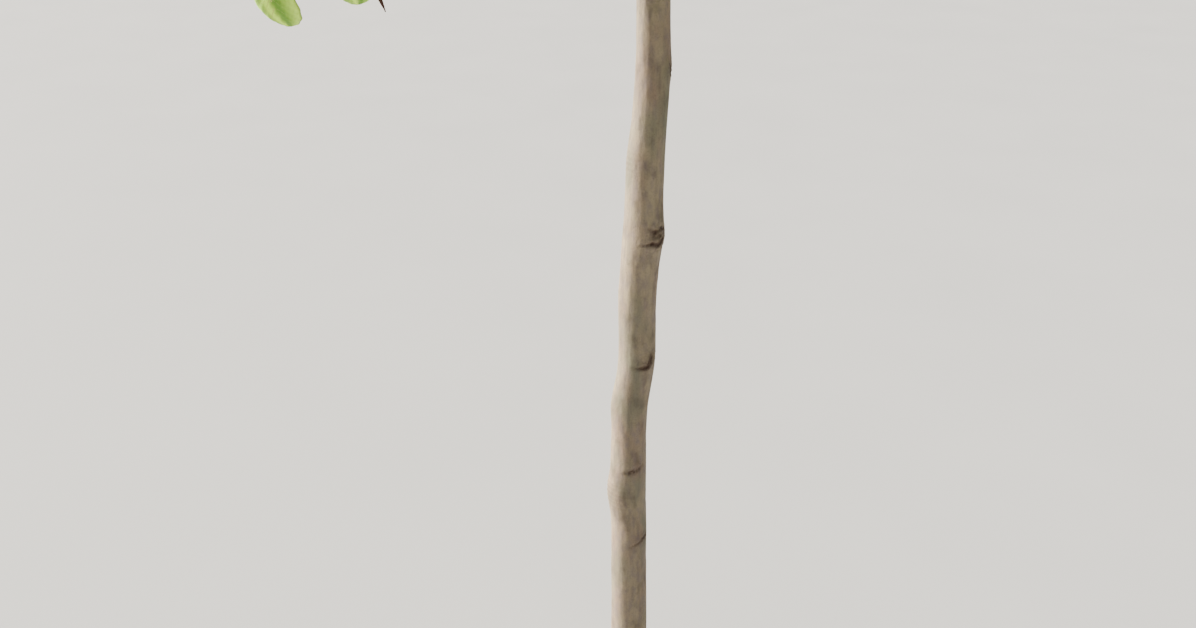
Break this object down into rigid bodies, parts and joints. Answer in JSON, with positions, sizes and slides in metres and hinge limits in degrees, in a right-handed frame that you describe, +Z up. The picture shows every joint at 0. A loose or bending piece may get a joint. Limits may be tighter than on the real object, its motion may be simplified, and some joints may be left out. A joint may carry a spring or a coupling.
{
  "type": "young broadleaf tree",
  "caption": "Young broadleaf tree with a slim, slightly bent trunk, healed scars and a narrow open crown of leafy boughs, held upright by the flat cut at its foot.",
  "frame": {"origin": "middle of the flat cut under the trunk, at ground level", "axes": "+Z up along the trunk, -Y towards the viewer of the picture, +X to that viewer's right"},
  "size_m": [1.199, 1.1742, 2.9823],
  "materials": {
    "bark": "smooth young bark, matt",
    "young_bark": "smooth twig bark",
    "leaf_light": "soft satin leaf",
    "leaf_mid": "soft satin leaf",
    "leaf_deep": "soft satin leaf",
    "leaf_yellow": "soft satin leaf"
  },
  "bodies": {
    "root": {"trunk": "bark", "bough_1": "young_bark", "bough_2": "young_bark", "bough_3": "young_bark", "bough_4": "young_bark", "bough_5": "young_bark", "bough_6": "young_bark", "bough_7": "young_bark", "bough_8": "young_bark", "bough_9": "young_bark", "bough_10": "young_bark", "bough_11": "young_bark", "bough_12": "young_bark", "bough_13": "young_bark", "bough_14": "young_bark", "bough_15": "young_bark", "bough_16": "young_bark", "bough_17": "young_bark", "foliage_1": "leaf_light", "foliage_2": "leaf_deep", "foliage_3": "leaf_yellow", "foliage_4": "leaf_mid", "foliage_5": "leaf_light", "foliage_6": "leaf_deep", "foliage_7": "leaf_yellow", "foliage_8": "leaf_mid", "foliage_9": "leaf_light", "foliage_10": "leaf_deep", "foliage_11": "leaf_yellow", "foliage_12": "leaf_mid", "foliage_13": "leaf_light", "foliage_14": "leaf_deep", "foliage_15": "leaf_yellow", "foliage_16": "leaf_mid", "foliage_17": "leaf_light", "foliage_top": "leaf_light"}
  },
  "joints": []
}
